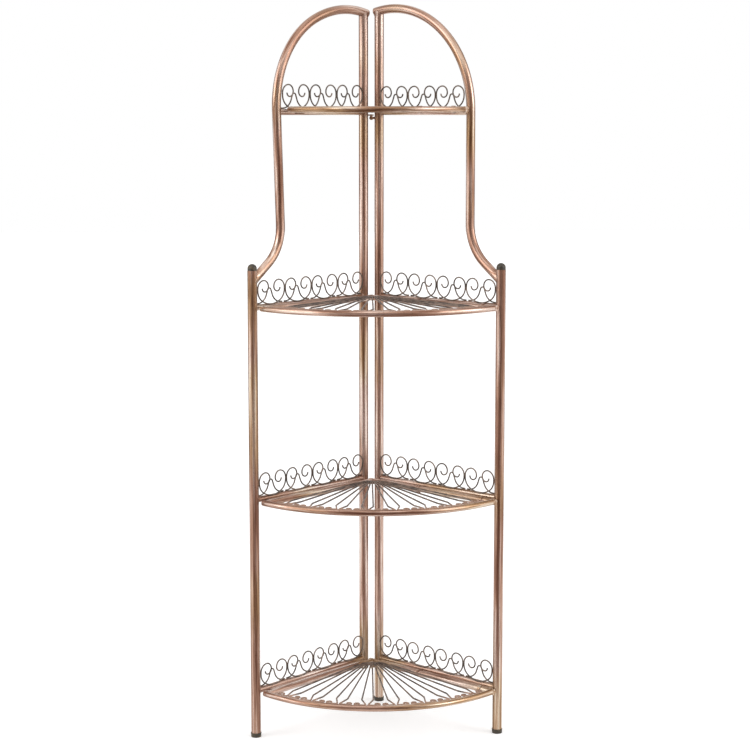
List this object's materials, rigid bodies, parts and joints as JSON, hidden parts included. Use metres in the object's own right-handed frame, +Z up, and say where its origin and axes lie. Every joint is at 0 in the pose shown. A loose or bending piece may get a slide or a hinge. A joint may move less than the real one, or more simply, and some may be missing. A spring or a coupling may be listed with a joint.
{
  "type": "corner shelf",
  "caption": "Free-standing folding corner shelf of bronze-painted metal tube: two arched panels at a right angle carry quarter-round lift-up wire shelves with scrolled wire galleries.",
  "frame": {"origin": "on the floor, at the bottom centre of the bounding box", "axes": "+Z up, -Y towards the front of the shelves, +X to the right seen from the front; the corner line of the panels is upright behind the origin"},
  "size_m": [0.6262, 0.4376, 1.7999],
  "materials": {
    "painted_tube": "semi-gloss copper-bronze paint with rubbed brown and gold patches",
    "painted_wire": "satin dark bronze paint",
    "painted_fitting": "semi-gloss copper-bronze paint",
    "dark_plastic": "matte moulded plastic, dark olive brown"
  },
  "bodies": {
    "right_panel": {"right_back_post": "painted_tube", "right_front_post": "painted_tube", "right_arch_tube": "painted_tube", "right_crossbar_1": "painted_tube", "right_gallery_1": "painted_wire", "right_crossbar_2": "painted_tube", "right_gallery_2": "painted_wire", "right_crossbar_3": "painted_tube", "right_gallery_3": "painted_wire", "right_crossbar_4": "painted_tube", "right_gallery_4": "painted_wire", "right_post_cap": "dark_plastic", "right_front_foot": "dark_plastic", "right_back_foot": "dark_plastic", "shelf_hinge_eyes": "painted_fitting", "panel_pivot_pins": "painted_fitting"},
    "left_panel": {"left_back_post": "painted_tube", "left_front_post": "painted_tube", "left_arch_tube": "painted_tube", "left_crossbar_1": "painted_tube", "left_gallery_1": "painted_wire", "left_crossbar_2": "painted_tube", "left_gallery_2": "painted_wire", "left_crossbar_3": "painted_tube", "left_gallery_3": "painted_wire", "left_crossbar_4": "painted_tube", "left_gallery_4": "painted_wire", "left_post_cap": "dark_plastic", "left_front_foot": "dark_plastic", "left_back_post_plug": "dark_plastic", "panel_pivot_eyes": "painted_fitting", "shelf_rest_tabs": "painted_fitting"},
    "shelf_1": {"shelf_1_rim": "painted_tube", "shelf_1_left_rail": "painted_tube", "shelf_1_right_rail": "painted_tube", "shelf_1_corner_plate": "painted_fitting", "shelf_1_fan_wires": "painted_wire"},
    "shelf_2": {"shelf_2_rim": "painted_tube", "shelf_2_left_rail": "painted_tube", "shelf_2_right_rail": "painted_tube", "shelf_2_corner_plate": "painted_fitting", "shelf_2_fan_wires": "painted_wire"},
    "shelf_3": {"shelf_3_rim": "painted_tube", "shelf_3_left_rail": "painted_tube", "shelf_3_right_rail": "painted_tube", "shelf_3_corner_plate": "painted_fitting", "shelf_3_fan_wires": "painted_wire"},
    "shelf_4": {"shelf_4_rim": "painted_tube", "shelf_4_left_rail": "painted_tube", "shelf_4_right_rail": "painted_tube", "shelf_4_corner_plate": "painted_fitting", "shelf_4_fan_wires": "painted_wire"}
  },
  "joints": [
    {"name": "left_panel_swing", "type": "hinge", "parent": "right_panel", "child": "left_panel", "pos_m": [0, 0.2026, 0.8], "axis": [0, 0, -1], "range_deg": [0, 90]},
    {"name": "shelf_1_hinge", "type": "hinge", "parent": "right_panel", "child": "shelf_1", "pos_m": [0.14496, 0.04915, 1.54], "axis": [-0.7071, 0.7071, 0], "range_deg": [0, 90]},
    {"name": "shelf_2_hinge", "type": "hinge", "parent": "right_panel", "child": "shelf_2", "pos_m": [0.14496, 0.04915, 1.065], "axis": [-0.7071, 0.7071, 0], "range_deg": [0, 90]},
    {"name": "shelf_3_hinge", "type": "hinge", "parent": "right_panel", "child": "shelf_3", "pos_m": [0.14496, 0.04915, 0.589], "axis": [-0.7071, 0.7071, 0], "range_deg": [0, 90]},
    {"name": "shelf_4_hinge", "type": "hinge", "parent": "right_panel", "child": "shelf_4", "pos_m": [0.14496, 0.04915, 0.109], "axis": [-0.7071, 0.7071, 0], "range_deg": [0, 90]}
  ]
}
